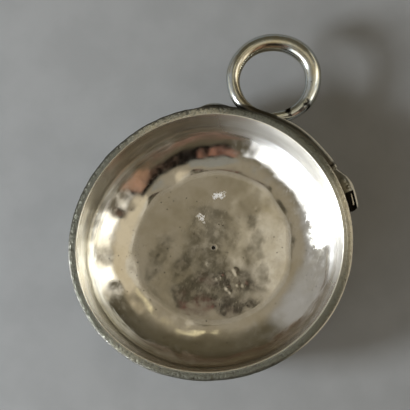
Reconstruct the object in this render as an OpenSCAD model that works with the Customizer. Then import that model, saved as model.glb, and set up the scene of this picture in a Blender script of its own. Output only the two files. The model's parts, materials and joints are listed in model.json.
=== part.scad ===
// Wine taster in silver: a raised bowl with a wired rim and a serpent finger ring.
// The bowl stands on z = 0 with its axis on the origin, and the ring points along +X.

/* [Bowl] */
// Diameter over the rim wire
rim_d = 80; // [70:0.5:95]
// Height of the rim above the table
bowl_h = 25; // [22:0.5:32]
// Outside radius of the broad turn up from the flat base
turn_r = 19.5; // [14:0.5:21]
// Slope at which the broad turn gives way to the bend, in degrees
turn_end = 45; // [35:1:50]
// Outside radius of the bend from the broad turn into the wall
bend_r = 5; // [4:0.5:11]
// Lean of the wall from upright, in degrees
wall_lean = 2; // [1:0.5:8]
// Thickness of the raised sheet
sheet_t = 1; // [0.8:0.1:1.4]
// Rounding of the lip's inner edge
lip_round = 0.4; // [0.2:0.05:0.6]
// Diameter of the compass mark in the middle of the floor
mark_d = 1; // [0.6:0.1:1.6]
// Depth of the compass mark
mark_depth = 0.35; // [0.2:0.05:0.5]

/* [Rim] */
// Width of the half-round wire, measured out from the lip
wire_w = 1.7; // [1.4:0.1:2.4]
// Height of the half-round wire
wire_h = 2.6; // [2:0.1:3.2]

/* [Serpent ring] */
// Finger opening, side to side
finger_w = 19.8; // [16:0.2:24]
// Finger opening, from the neck out to the front, seen from above
finger_l = 19.2; // [14:0.2:22]
// Droop of the ring towards its front, in degrees
ring_droop = 8; // [0:1:20]
// Thickness of the rod at the front of the ring
rod_front_d = 5.2; // [4:0.1:6]
// Thickness of the rod where it lies along the wall
rod_wall_d = 3.3; // [2.6:0.1:3.8]
// Angle of wall that the neck follows, in degrees
neck_sweep = 36; // [24:1:45]
// Angle of wall that the tail follows, in degrees
tail_sweep = 52; // [30:1:70]
// Share of the tail that keeps the full thickness of the rod
tail_full = 0.4; // [0:0.05:0.6]
// Thickness that the tail gains where it swells beside the ring
tail_swell = 1; // [0:0.1:1.4]
// Angle of wall from the ring to the middle of the swelling, in degrees
swell_at = 20; // [16:1:26]
// Angle of wall that the swelling takes up, in degrees
swell_sweep = 16; // [10:1:20]
// Thickness of the tip of the tail
tail_tip_d = 1.2; // [0.8:0.1:2]
// Drop of the tail's tip below its root
tail_drop = 2; // [0:0.25:3]

/* [Serpent head] */
// Length of the head from the neck's shoulder to the nose
head_l = 14; // [11:0.5:16]
// Height of the head across the brows
brow_w = 5.4; // [4.4:0.1:6]
// Thickness of the head at the brows, out from the wall
brow_t = 5.4; // [4.2:0.1:6]
// Height of the snout
snout_w = 3.4; // [2.8:0.1:4]
// Thickness of the snout, out from the wall
snout_t = 5; // [3.4:0.1:5.4]
// Thickness that the head's collar adds round the neck
collar_t = 0.25; // [0.15:0.05:0.4]
// Length of the open mouth
mouth_l = 5; // [3.5:0.25:6]
// Gap between the jaws in the corner of the mouth
mouth_corner = 1.2; // [0.8:0.1:1.4]
// Gap between the jaws at the nose
mouth_gap = 1.7; // [1.2:0.1:2]
// Thickness of the outer jaw
jaw_t = 0.7; // [0.5:0.05:0.9]
// Diameter of each eye
eye_d = 1.1; // [0.8:0.1:1.4]
// Diameter of the tenon on the neck
tenon_d = 2.2; // [1.6:0.1:2.4]
// Length of the tenon on the neck
tenon_l = 2.4; // [1.5:0.1:3]
// Thickness of the tongue
tongue_t = 0.4; // [0.3:0.05:0.6]
// Width of the tongue
tongue_w = 1.3; // [0.8:0.1:1.8]
// Length of the tongue that shows in the mouth
tongue_l = 3.4; // [2:0.2:4.5]
// Length of the tongue's root inside the head
tongue_root = 1.5; // [1:0.1:2]
// Depth of the fork in the tongue's tip
fork_l = 0.9; // [0.5:0.1:1.4]
// Width of each prong of the fork at its tip
prong_w = 0.3; // [0.2:0.05:0.35]

/* [Solder and seats] */
// Thickness of the solder between rod and wall
solder_gap = 0.1; // [0.05:0.05:0.2]
// Leg of the solder fillet below the rim wire
rim_fillet = 0.5; // [0.3:0.05:0.6]
// Clearance between the rim wire and the serpent below it
wire_gap = 0.2; // [0.1:0.05:0.5]
// Solder between the neck and the tail's limb where they cross
cross_gap = 0.3; // [0.2:0.05:0.6]
// Clearance between the head and the wall
head_gap = 0.15; // [0.1:0.05:0.3]
// Clearance round the tenon and round the tongue's root
seat_gap = 0.05; // [0.03:0.01:0.1]

/* [Hidden] */
$fn = 96;

// Facets of the rod: sides round it, turns of angle along the wall and round the ring
rod_sides = 24;
wall_step = 2;
ring_step = 6;
// Length by which a cut runs past the faces that it opens
cut_over = 1;
// Angle by which a slice of the bowl's section runs on inside its neighbour
slice_lap = 10;

// Bowl: base, broad turn, bend and wall run into one another without a corner
lip_r = rim_d/2 - wire_w;
wall_slope = 90 - wall_lean;
bend_off = (turn_r - bend_r)*down(turn_end);
wall_foot = [0, turn_r] + bend_off + bend_r*down(wall_slope);
base_r = lip_r - wall_foot.x - (bowl_h - wall_foot.y)*tan(wall_lean);
turn_c = [base_r, turn_r];
bend_c = turn_c + bend_off;
wire_z = bowl_h - wire_h;

// Rod: half thicknesses, and the heights at which neck, head and tail lie below the wire
rod_wall_r = rod_wall_d/2;
rod_front_r = rod_front_d/2;
neck_z = wire_z - wire_gap - rod_wall_r;
head_z = wire_z - wire_gap - max(brow_w/2, rod_wall_r + collar_t);
tail_z = neck_z - rod_wall_d - cross_gap;

// Ring: half axes of its middle line seen from above, and how far its front hangs
ring_half_w = finger_w/2 + (rod_wall_r + rod_front_r)/2;
ring_half_l = (finger_l + rod_wall_r + rod_front_r)/2;
ring_drop = 2*ring_half_l*tan(ring_droop);

// Head: shares of its length where the nape ends, the brows are widest and the nose turns in
nape_at = 0.2;
brow_at = 0.48;
eye_at = 0.54;
nose_at = 0.88;
// Place of the eyes out from the head's inner side, in half thicknesses, and how far the nose closes
eye_out = 1.3;
nose_close = 0.9;
head_steps = 25;
mouth_at = 1 - mouth_l/head_l;

function mix(a, b, u) = a + (b - a)*u;
function ease(u) = u <= 0 ? 0 : u >= 1 ? 1 : u*u*(3 - 2*u);
function unit(v) = v/norm(v);
// Direction in the bowl's section that is square to a slope, out from the bowl
function down(slope) = [sin(slope), -cos(slope)];
function flat_polar(r, az) = r*[cos(az), sin(az)];
function polar(r, az, z) = [r*cos(az), r*sin(az), z];

// Radius at which a point at this height stands off the bowl's outside by a distance
function seat_r(z, off) =
    let (bend = bend_r + off, turn = turn_r + off)
    z >= bend_c.y - bend*cos(wall_slope) ? lip_r - (bowl_h - z)*tan(wall_lean) + off/cos(wall_lean)
        : z >= bend_c.y - bend*cos(turn_end) ? bend_c.x + sqrt(bend^2 - (bend_c.y - z)^2)
        : turn_c.x + sqrt(turn^2 - (turn_c.y - z)^2);

// Outside radius of the bowl at a height
function wall_r(z) = seat_r(z, 0);

neck_seat = seat_r(neck_z, rod_wall_r + solder_gap);
tail_seat = seat_r(tail_z, rod_wall_r + solder_gap);
head_seat = seat_r(head_z, rod_wall_r + solder_gap);

// Middle line of the rod as pairs of a point and a half thickness: neck, ring, then tail
function neck_station(az) =
    let (z = mix(neck_z, head_z, ease(-az/neck_sweep)))
    [polar(seat_r(z, rod_wall_r + solder_gap), az, z), rod_wall_r];

function ring_station(turn) =
    let (u = ease(turn/360), out = (1 - cos(turn))/2)
    [
        [
            mix(neck_seat, tail_seat, u) + 2*ring_half_l*out,
            ring_half_w*sin(turn),
            mix(neck_z, tail_z, u) - ring_drop*out
        ],
        mix(rod_wall_r, rod_front_r, out)
    ];

function tail_station(az) =
    let (
        u = az/tail_sweep,
        swell = ease(1 - abs(az - swell_at)/(swell_sweep/2)),
        taper = mix(rod_wall_r, tail_tip_d/2, ease((u - tail_full)/(1 - tail_full))),
        r = taper + swell*tail_swell/2,
        z = tail_z - tail_drop*ease(u)
    )
    [polar(seat_r(z, r + solder_gap), az, z), r];

neck_steps = ceil(neck_sweep/wall_step);
ring_steps = ceil(360/ring_step);
tail_steps = ceil(tail_sweep/wall_step);
neck_line = [for (i = [0:neck_steps - 1]) neck_station(-neck_sweep*(1 - i/neck_steps))];
ring_line = [for (i = [0:ring_steps]) ring_station(360*i/ring_steps)];
tail_line = [for (i = [1:tail_steps]) tail_station(tail_sweep*i/tail_steps)];
rod_line = concat(neck_line, ring_line, tail_line);

// Direction along a line of stations at one of them; the neck's end is square to the wall
neck_end_dir = [sin(neck_sweep), cos(neck_sweep), 0];
function line_dir(line, i) =
    unit(line[min(i + 1, len(line) - 1)][0] - line[max(i - 1, 0)][0]);

// A point of the rod's skin: angle 0 faces left of the way the line runs, which is the wall, and 90 is up
function skin_point(centre, dir, r, angle) =
    let (left = unit([-dir.y, dir.x, 0]), up = cross(dir, left))
    centre + r*(cos(angle)*left + sin(angle)*up);

function round_loop(centre, dir, r) =
    [for (k = [0:rod_sides - 1]) skin_point(centre, dir, r, 360*k/rod_sides)];

// Faces of a skin through equal loops, with each end closed by a strip across its loop
function end_faces(first, n, back) =
    [
        for (i = [0:n/2 - 2], tri = [[i, i + 1, n - 2 - i], [i, n - 2 - i, n - 1 - i]])
            [for (k = back ? [0, 1, 2] : [2, 1, 0]) first + tri[k]]
    ];

function side_faces(rows, n) =
    [
        for (j = [0:rows - 2], k = [0:n - 1], half = [0, 1])
            let (a = j*n + k, b = j*n + (k + 1)%n)
            half == 0 ? [a, a + n, b] : [b, a + n, b + n]
    ];

module skin(loops) {
    n = len(loops[0]);
    rows = len(loops);
    polyhedron(
        points = [for (loop = loops) each loop],
        faces = concat(end_faces(0, n, true), side_faces(rows, n), end_faces((rows - 1)*n, n, false))
    );
}

// Slice of a disc between two slopes
module arc_slice(centre, r, from, to) {
    reach = 2*r;
    intersection() {
        translate(centre) circle(r);
        polygon([
            centre,
            centre + reach*down(from),
            centre + reach*down((from + to)/2),
            centre + reach*down(to)
        ]);
    }
}

// Half section of the bowl's solid block, moved in from its outer skin by a distance
module cup_section(inset, over) {
    bend_foot = turn_c + (turn_r - inset)*down(turn_end);
    foot = bend_c + (bend_r - inset)*down(wall_slope);
    top_z = bowl_h + over;
    top_r = lip_r + over*tan(wall_lean) - inset/cos(wall_lean);
    polygon([[0, inset], [base_r, inset], bend_foot, foot, [top_r, top_z], [0, top_z]]);
    arc_slice(turn_c, turn_r - inset, -slice_lap, turn_end);
    arc_slice(bend_c, bend_r - inset, turn_end - slice_lap, wall_slope + slice_lap);
}

// Corner of the lip that its rounding takes off
module lip_corner() {
    inner_r = lip_r - sheet_t/cos(wall_lean);
    c = [inner_r - lip_round*tan(wall_lean) + lip_round/cos(wall_lean), bowl_h - lip_round];
    wall_touch = c + lip_round*[-cos(wall_lean), sin(wall_lean)];
    difference() {
        polygon([
            c,
            wall_touch,
            wall_touch - [cut_over, 0],
            [inner_r - cut_over, bowl_h + cut_over],
            [c.x, bowl_h + cut_over]
        ]);
        translate(c) circle(lip_round);
    }
}

module bowl() {
    color("silver")
    rotate_extrude()
    difference() {
        cup_section(0, 0);
        cup_section(sheet_t, cut_over);
        lip_corner();
        translate([0, sheet_t - mark_depth]) polygon([[0, 0], [mark_d/2, mark_depth], [0, mark_depth]]);
    }
}

module rim_wire() {
    round_c = [lip_r + wire_w - wire_h/2, bowl_h - wire_h/2];
    color("darkgray")
    rotate_extrude()
    difference() {
        union() {
            translate(round_c) circle(d = wire_h);
            translate([wall_r(wire_z) - cut_over, wire_z])
                square([round_c.x - wall_r(wire_z) + cut_over, wire_h]);
        }
        cup_section(0, cut_over);
    }
}

module rim_solder() {
    foot_z = wire_z - rim_fillet;
    color("lightgray")
    rotate_extrude()
    polygon([[wall_r(wire_z), wire_z], [wall_r(foot_z), foot_z], [wall_r(wire_z) + rim_fillet, wire_z]]);
}

module serpent_ring() {
    shoulder = rod_line[0][0];
    tenon = [
        round_loop(shoulder - tenon_l*neck_end_dir, neck_end_dir, tenon_d/2),
        round_loop(shoulder, neck_end_dir, tenon_d/2),
        round_loop(shoulder, neck_end_dir, rod_wall_r)
    ];
    rod = [
        for (i = [1:len(rod_line) - 1])
            round_loop(rod_line[i][0], line_dir(rod_line, i), rod_line[i][1])
    ];
    color("khaki") skin(concat(tenon, rod));
}

// The head runs on round the wall from the neck's shoulder; u is the share of its length
function head_az(u) = -neck_sweep - u*head_l/head_seat*180/PI;
function head_half(u, collar, brow, snout) =
    u < brow_at
        ? mix(collar, brow, ease((u - nape_at)/(brow_at - nape_at)))
        : mix(brow, snout, ease((u - brow_at)/(1 - brow_at)));
function head_half_t(u) = head_half(u, rod_wall_r + collar_t, brow_t/2, snout_t/2);
function head_half_w(u) = head_half(u, rod_wall_r + collar_t, brow_w/2, snout_w/2);
function head_in() = seat_r(head_z, head_gap);
function head_out(u) = head_in() + 2*head_half_t(u);
// The nose closes on a quarter ellipse that stops just short of a point
function nose_share(u) = u <= nose_at ? 1 : sqrt(1 - nose_close*((u - nose_at)/(1 - nose_at))^2);

function head_loop(u) =
    let (
        r_mid = head_in() + head_half_t(u),
        half_t = nose_share(u)*head_half_t(u),
        half_w = nose_share(u)*head_half_w(u)
    )
    [
        for (k = [0:rod_sides - 1])
            let (angle = 360*k/rod_sides)
            polar(r_mid + half_t*cos(angle), head_az(u), head_z + half_w*sin(angle))
    ];

// Middle of the gap between the jaws
function mouth_mid(u) =
    let (v = (u - mouth_at)/(1 - mouth_at))
    mix(head_out(mouth_at) - jaw_t - mouth_corner/2, head_out(1) - jaw_t - mouth_gap/2, v);

module mouth_outline() {
    past_nose = 1 + cut_over/head_l;
    corner_mid = mouth_mid(mouth_at);
    translate(flat_polar(corner_mid, head_az(mouth_at))) circle(d = mouth_corner);
    polygon([
        flat_polar(corner_mid + mouth_corner/2, head_az(mouth_at)),
        flat_polar(mouth_mid(past_nose) + mouth_gap/2, head_az(past_nose)),
        flat_polar(mouth_mid(past_nose) - mouth_gap/2, head_az(past_nose)),
        flat_polar(corner_mid - mouth_corner/2, head_az(mouth_at))
    ]);
}

// Strip of the tongue seen from above, with room round it for its slot
module tongue_outline(room) {
    root_at = mouth_at - (mouth_corner/2 + tongue_root + room)/head_l;
    tip_at = mouth_at + tongue_l/head_l;
    half = tongue_t/2 + room;
    polygon([
        flat_polar(mouth_mid(root_at) + half, head_az(root_at)),
        flat_polar(mouth_mid(tip_at) + half, head_az(tip_at)),
        flat_polar(mouth_mid(tip_at) - half, head_az(tip_at)),
        flat_polar(mouth_mid(root_at) - half, head_az(root_at))
    ]);
}

module serpent_head() {
    shoulder = rod_line[0][0];
    eye_r = head_in() + eye_out*head_half_t(eye_at);
    color("darkkhaki")
    difference() {
        skin([for (i = [0:head_steps]) head_loop(i/head_steps)]);
        translate(shoulder)
            rotate([90, 0, -neck_sweep])
                cylinder(d = tenon_d + 2*seat_gap, h = 2*(tenon_l + seat_gap), center = true);
        translate([0, 0, head_z - brow_w]) linear_extrude(2*brow_w) mouth_outline();
        translate([0, 0, head_z - tongue_w/2 - seat_gap])
            linear_extrude(tongue_w + 2*seat_gap) tongue_outline(seat_gap);
        for (side = [-1, 1])
            translate(polar(eye_r, head_az(eye_at), head_z + side*head_half_w(eye_at))) sphere(d = eye_d);
    }
}

module serpent_tongue() {
    tip_at = mouth_at + tongue_l/head_l;
    fork_half = (tongue_w/2 - prong_w)*(fork_l + cut_over)/fork_l;
    color("gray")
    difference() {
        translate([0, 0, head_z - tongue_w/2]) linear_extrude(tongue_w) tongue_outline(0);
        translate(polar(mouth_mid(tip_at), head_az(tip_at), head_z))
            rotate([90, 0, head_az(tip_at) + 90])
                linear_extrude(2*(tongue_t + cut_over), center = true)
                    polygon([[fork_l, 0], [-cut_over, fork_half], [-cut_over, -fork_half]]);
    }
}

// Solder between a stretch of rod and the wall, from the rod's skin facing the wall to the wall itself
saddle_half = 3;
function saddle_loop(line, i) =
    let (
        centre = line[i][0],
        dir = line_dir(line, i),
        turn = 360/rod_sides,
        rod_side = [for (k = [-saddle_half:saddle_half]) skin_point(centre, dir, line[i][1], k*turn)],
        wall_side = [
            for (k = [saddle_half:-1:-saddle_half])
                let (p = rod_side[k + saddle_half])
                polar(wall_r(p.z), atan2(p.y, p.x), p.z)
        ]
    )
    concat(rod_side, wall_side);

module neck_solder() {
    color("lightgray")
    skin([for (i = [1:neck_steps - 1]) saddle_loop(rod_line, i)]);
}

module tail_solder() {
    first = neck_steps + ring_steps + 1;
    last = len(rod_line) - 2;
    color("lightgray")
    skin([for (i = [first:last]) saddle_loop(rod_line, i)]);
}

// Solder between the neck's underside and the top of the tail's limb, where both run level along Y
cross_half = 4;
function cross_pair(y) =
    let (turn = asin(y/ring_half_w))
    y < 0 ? [neck_station(asin(y/neck_seat)), ring_station(360 + turn)]
          : [ring_station(turn), tail_station(asin(y/tail_seat))];

function cross_loop(y) =
    let (
        pair = cross_pair(y),
        turn = 360/rod_sides,
        along = [0, 1, 0],
        lower = [
            for (k = [-saddle_half:saddle_half]) skin_point(pair[1][0], along, pair[1][1], 90 - k*turn)
        ],
        upper = [
            for (k = [saddle_half:-1:-saddle_half]) skin_point(pair[0][0], along, pair[0][1], 270 + k*turn)
        ]
    )
    concat(lower, upper);

module crossing_solder() {
    color("lightgray")
    skin([for (i = [-cross_half:cross_half]) cross_loop(i*rod_wall_d/2/cross_half)]);
}

bowl();
rim_wire();
rim_solder();
serpent_ring();
serpent_head();
serpent_tongue();
neck_solder();
tail_solder();
crossing_solder();
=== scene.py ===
# %% [markdown]
# # A silver wine taster with a serpent ring
# The real thing is silversmith's work: a disc of sheet raised with hammers into a bowl, a half-round wire
# soldered round its lip, and a forged serpent whose body makes the finger ring. The measured solids give
# every piece its size and place. This lesson rebuilds each piece as a finer mesh in the same place, with
# the hammer marks, dents and solder that the solids leave out, and then gives each its finish.

# %% Load the measured solids
import json
from math import atan2, copysign, cos, hypot, pi, radians, sin, sqrt, tan, tau

import bpy
from mathutils import Matrix, Vector, noise

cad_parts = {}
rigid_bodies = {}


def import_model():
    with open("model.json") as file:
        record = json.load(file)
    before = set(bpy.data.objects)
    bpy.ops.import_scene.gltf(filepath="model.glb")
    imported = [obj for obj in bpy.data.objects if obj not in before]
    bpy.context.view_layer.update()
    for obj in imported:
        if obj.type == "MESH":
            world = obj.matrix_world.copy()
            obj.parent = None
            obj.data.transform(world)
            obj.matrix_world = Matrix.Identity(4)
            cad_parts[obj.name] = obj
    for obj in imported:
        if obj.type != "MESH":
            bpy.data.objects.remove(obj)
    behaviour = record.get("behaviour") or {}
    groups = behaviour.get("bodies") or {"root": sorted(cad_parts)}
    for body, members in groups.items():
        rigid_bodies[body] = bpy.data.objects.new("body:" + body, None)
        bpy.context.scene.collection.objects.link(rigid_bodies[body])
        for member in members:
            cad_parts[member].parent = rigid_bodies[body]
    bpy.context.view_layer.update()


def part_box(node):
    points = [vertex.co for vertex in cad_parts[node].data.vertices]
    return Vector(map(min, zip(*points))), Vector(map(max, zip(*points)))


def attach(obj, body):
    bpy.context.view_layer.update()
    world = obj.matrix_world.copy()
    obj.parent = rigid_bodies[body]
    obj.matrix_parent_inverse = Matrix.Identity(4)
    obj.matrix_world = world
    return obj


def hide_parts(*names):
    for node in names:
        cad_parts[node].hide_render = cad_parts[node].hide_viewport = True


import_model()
MM = 0.001


def polar(r, turn, z):
    """A point at a radius from the bowl's axis, a turn about it and a height."""
    return Vector((r*cos(turn), r*sin(turn), z))


# %% [markdown]
# ## Camera
# The taster is seen almost straight down, from a little below the middle of the picture, with the ring
# turned to the upper right. A long lens far away keeps the rim round. The camera gets a place, a point to
# look at and a roll, and its matrix is built from those three, because a tracking constraint can't hold the
# roll.

# %% Camera above the bowl
camera_at = Vector((-16.4, -22.1, 402.6))*MM
camera_aim = Vector((10.0, 5.7, 20.0))*MM
# Angle in the picture between its right-hand side and the way the ring points
ring_turn = radians(69.3)

bpy.ops.object.camera_add(location=camera_at)
camera = bpy.context.object
camera.name = "camera_above"
camera.data.sensor_fit = "HORIZONTAL"
camera.data.angle = radians(17.58)
camera.data.clip_start = 0.01
look = (camera_aim - camera_at).normalized()
right = polar(1, -ring_turn, 0)
right = (right - look*right.dot(look)).normalized()
facing = Matrix((right, right.cross(look), -look)).transposed().to_4x4()
camera.matrix_world = Matrix.Translation(camera_at) @ facing
bpy.context.scene.camera = camera
print("camera stands", round((camera_aim - camera_at).length/MM), "mm from the taster")

# %% [markdown]
# ## Helpers for nodes
# A finish is a small tree of nodes. Writing each node with its sockets on one line keeps a recipe readable:
# a plain value is set on the socket itself, and another node's output is linked to it. The helpers write to
# `tree`, the tree of the finish at hand, and take `place`, the place on the object, from it.

# %% Node helpers
def plug(socket, value):
    """Links another node's output to a socket, or sets a plain value; a colour is red, green and blue."""
    if isinstance(value, bpy.types.NodeSocket):
        tree.links.new(value, socket)
    elif socket.type == "RGBA":
        socket.default_value = (*value, 1)
    else:
        socket.default_value = value


def plug_all(node, **sockets):
    for name, value in sockets.items():
        plug(node.inputs[name.replace("_", " ")], value)
    return node


def add_node(kind, settings=None, **sockets):
    node = tree.nodes.new("ShaderNode" + kind)
    for name, value in (settings or {}).items():
        setattr(node, name, value)
    return plug_all(node, **sockets)


def mix_colour(share, first, second, blend_type="MIX"):
    node = add_node("Mix", {"data_type": "RGBA", "blend_type": blend_type})
    for number, value in ((0, share), (6, first), (7, second)):
        plug(node.inputs[number], value)
    return node.outputs[2]


def coat(colour, *layers):
    """Lays colours over a first one; each layer is a share from 0 to 1 and the colour that it brings."""
    for share, layer_colour in layers:
        colour = mix_colour(share, colour, layer_colour)
    return colour


def ramp(value, low, high, start=0.0, end=1.0):
    """Eases from start to end while the value goes from low to high."""
    return add_node("MapRange", {"interpolation_type": "SMOOTHSTEP"}, Value=value, From_Min=low,
                    From_Max=high, To_Min=start, To_Max=end).outputs[0]


def maths(operation, first, second=0.0):
    node = add_node("Math", {"operation": operation})
    for socket, value in zip(node.inputs, (first, second)):
        plug(socket, value)
    return node.outputs[0]


def times(first, second):
    return maths("MULTIPLY", first, second)


def largest(*shares):
    total = shares[0]
    for share in shares[1:]:
        total = maths("MAXIMUM", total, share)
    return total


def how_far(place, direction):
    """How far a place lies towards a direction."""
    node = add_node("VectorMath", {"operation": "DOT_PRODUCT"}, Vector=place)
    plug(node.inputs[1], direction)
    return node.outputs["Value"]


def grain(per_mm, detail=2.0, roughness=0.5, at=None):
    """Noise with that many grains to the millimetre, spread about the middle of 0 to 1."""
    return add_node("TexNoise", Vector=place if at is None else at, Scale=per_mm/MM, Detail=detail,
                    Roughness=roughness).outputs["Fac"]


def new_finish(name):
    """A new material and its shader; the helpers write to its tree and work at its place from then on."""
    global tree, place
    finish = bpy.data.materials.new(name)
    finish.use_nodes = True
    tree = finish.node_tree
    place = add_node("TexCoord").outputs["Object"]
    return finish, tree.nodes["Principled BSDF"]


print("node helpers ready")

# %% [markdown]
# ## Table
# A pale table top stands in for the studio floor. It is a wide disc just under the bowl, with a faint
# mottle so that it doesn't look like plain paint.

# %% Table top
table_r = 3.0
table_gap = 0.02*MM
bpy.ops.mesh.primitive_circle_add(vertices=96, radius=table_r, fill_type="NGON", location=(0, 0, -table_gap))
table = bpy.context.object
table.name = "table_top"
bpy.ops.object.transform_apply()

table_finish, shader = new_finish("pale_grey_table")
mottle = ramp(grain(0.06, detail=4.0), 0.3, 0.7)
plug_all(shader, Base_Color=mix_colour(mottle, (0.238, 0.240, 0.237), (0.262, 0.264, 0.261)),
         Roughness=0.75, Specular_IOR_Level=0.25)
table.data.materials.append(table_finish)
print("table", table_r*2, "m across")

# %% [markdown]
# ## Light
# Silver shows what is round it, so the light is arranged as for a photograph of silver. One window of soft
# light stands low on the left. The rest is the colour of the room itself: dim and warm, with soft cards
# round the bowl, bright or dark, and small patches overhead that the flat floor mirrors.

# %% Window
window_turn, window_rise = radians(122), radians(33)
window_far, window_w, window_h = 0.5, 0.12, 0.14
window_radiance = 55.0
away = polar(cos(window_rise), window_turn, sin(window_rise))
bpy.ops.object.light_add(type="AREA", location=away*window_far)
window = bpy.context.object
window.name = "window"
window.rotation_euler = away.to_track_quat("Z", "Y").to_euler()
window.data.shape = "RECTANGLE"
window.data.size, window.data.size_y = window_w, window_h
window.data.energy = window_radiance*pi*window_w*window_h
window.data.color = (0.94, 1.0, 1.07)
print("window of", window_w, "by", window_h, "m")

# %% Cards and room
room = bpy.context.scene.world or bpy.data.worlds.new("room")
bpy.context.scene.world = room
room.use_nodes = True
tree = room.node_tree
tree.nodes.clear()
toward = add_node("TexCoord").outputs["Generated"]
toward_xyz = add_node("SeparateXYZ", Vector=toward).outputs
room_turn = maths("ARCTAN2", toward_xyz["Y"], toward_xyz["X"])
room_rise = maths("ARCSINE", toward_xyz["Z"])


def card(*degrees):
    """1 inside a stretch of the room, 0 outside: turn, half width, lowest and highest rise, softness."""
    turn, half, low, high, soft = map(radians, degrees)
    across = maths("COSINE", maths("SUBTRACT", room_turn, turn))
    inside = ramp(across, cos(half + soft), cos(max(half - soft, 0)))
    above = ramp(room_rise, low - soft, low + soft)
    below = ramp(room_rise, high + soft, high - soft)
    return times(inside, times(above, below))


def overhead(lean_x, lean_y, half, soft):
    """1 in a round patch of the ceiling; leans are sideways for each unit up, the other two are degrees."""
    near = how_far(toward, Vector((lean_x, lean_y, 1)).normalized())
    return ramp(near, cos(radians(half + soft)), cos(radians(half - soft)))


# Turn, half width, lowest and highest rise, softness and colour of each card
surroundings = [
    (150, 24, 6, 50, 4, (1.8, 1.85, 1.9)), (-66, 42, 52, 84, 5, (0.58, 0.50, 0.36)),
    (95, 36, 8, 62, 10, (0.31, 0.30, 0.28)), (19, 8, 58, 68, 2, (0.9, 0.8, 0.52)),
    (-13, 5, 67, 77, 3, (0.75, 0.66, 0.43)), (-133, 38, 38, 66, 4, (0.006, 0.005, 0.004)),
    (-111, 9, 22, 57, 4, (0.36, 0.215, 0.145)), (-168, 6, 44, 60, 3, (0.26, 0.13, 0.09)),
    (-150, 22, 4, 26, 8, (0.19, 0.115, 0.085)), (-67, 24, 14, 48, 7, (0.45, 0.42, 0.36)),
    (-82, 8, 14, 48, 6, (1.85, 1.77, 1.56)), (-50, 7, 14, 50, 6, (2.3, 2.2, 1.95)),
    (125, 34, 1, 12, 3, (0.9, 0.82, 0.6)), (-50, 24, 1, 13, 3, (0.95, 0.86, 0.64)),
    (-160, 24, 64, 78, 3, (0.23, 0.225, 0.195))]
# Leans, half width, softness and colour of each patch of the ceiling
ceiling = [
    (0.10, -0.085, 5.0, 2.0, (0.58, 0.53, 0.43)), (0.030, 0.060, 2.6, 0.8, (0.09, 0.077, 0.05)),
    (-0.054, 0.062, 3.0, 1.0, (0.06, 0.055, 0.038)), (-0.044, 0.016, 2.8, 1.0, (0.06, 0.053, 0.035)),
    (0.087, 0.076, 1.7, 0.7, (0.12, 0.105, 0.075)), (-0.076, 0.031, 1.2, 0.5, (0.16, 0.06, 0.05)),
    (-0.058, -0.008, 1.9, 0.6, (0.02, 0.016, 0.012)), (-0.042, -0.046, 1.8, 0.6, (0.03, 0.025, 0.018))]
high_up = ramp(room_rise, radians(40), radians(74))
room_colour = mix_colour(high_up, (0.09, 0.077, 0.05), (0.27, 0.235, 0.172))
room_colour = coat(room_colour, *[(card(*stretch), colour) for *stretch, colour in surroundings])
room_colour = coat(room_colour, *[(overhead(*patch), colour) for *patch, colour in ceiling])

# The camera sees a plain grey behind everything, and the silver sees the room
seen = add_node("LightPath").outputs["Is Camera Ray"]
light = add_node("Background", Color=room_colour)
backdrop = add_node("Background", Color=(0.55, 0.55, 0.56))
either = add_node("MixShader")
for socket, output in zip(either.inputs, (seen, light.outputs[0], backdrop.outputs[0])):
    plug(socket, output)
add_node("OutputWorld", Surface=either.outputs[0])
bpy.context.scene.view_settings.view_transform = "Standard"
print(len(surroundings), "cards and", len(ceiling), "patches of ceiling")

# %% [markdown]
# ## The smith's helpers
# Round pieces are turned as on a lathe: one vertex is pulled along half of the section with Extrude, and
# Spin turns that line about the bowl's axis. A Screw modifier would turn it as well, but Spin leaves plain
# faces at once, ready for the hammer.

# %% Helpers that shape a mesh
def blend(low, high, share):
    return low + (high - low)*share


def ease(share):
    """0 up to 0, 1 from 1 on, and a soft step between."""
    share = min(max(share, 0), 1)
    return share*share*(3 - 2*share)


def radius_of(spot):
    """Distance from the bowl's axis."""
    return hypot(spot.x, spot.y)


def pen_line(name, points, closed=False):
    """One vertex pulled from point to point; points are pairs of radius and height in mm."""
    spots = [Vector((r, 0, z))*MM for r, z in points]
    bpy.ops.mesh.primitive_plane_add(size=MM)
    piece = bpy.context.object
    piece.name = name
    piece.data.name = name
    bpy.ops.object.mode_set(mode="EDIT")
    bpy.ops.mesh.select_mode(type="VERT")
    bpy.ops.mesh.merge(type="CENTER")
    bpy.ops.transform.translate(value=spots[0])
    for here, there in zip(spots, spots[1:]):
        bpy.ops.mesh.extrude_region_move(TRANSFORM_OT_translate={"value": there - here})
    if closed:
        bpy.ops.mesh.select_all(action="SELECT")
        bpy.ops.mesh.remove_doubles(threshold=1e-6)
    return piece


def close_skin():
    """Merges doubled vertices of the piece being edited, turns its faces outward and shades it smooth."""
    bpy.ops.mesh.select_all(action="SELECT")
    bpy.ops.mesh.remove_doubles(threshold=1e-6)
    bpy.ops.mesh.normals_make_consistent(inside=False)
    bpy.ops.object.mode_set(mode="OBJECT")
    bpy.ops.object.shade_smooth()


def spin_round(steps):
    """Turns the pen line that is being edited once round the bowl's axis."""
    bpy.ops.mesh.select_all(action="SELECT")
    bpy.ops.mesh.spin(steps=steps, angle=tau, center=(0, 0, 0), axis=(0, 0, 1))
    close_skin()


def store(piece, name, value_of):
    """Keeps a value for each vertex under a name, for the finishes."""
    values = piece.data.attributes.new(name, "FLOAT", "POINT")
    for vertex in piece.data.vertices:
        values.data[vertex.index].value = value_of(vertex)


print("shaping helpers ready")

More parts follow.
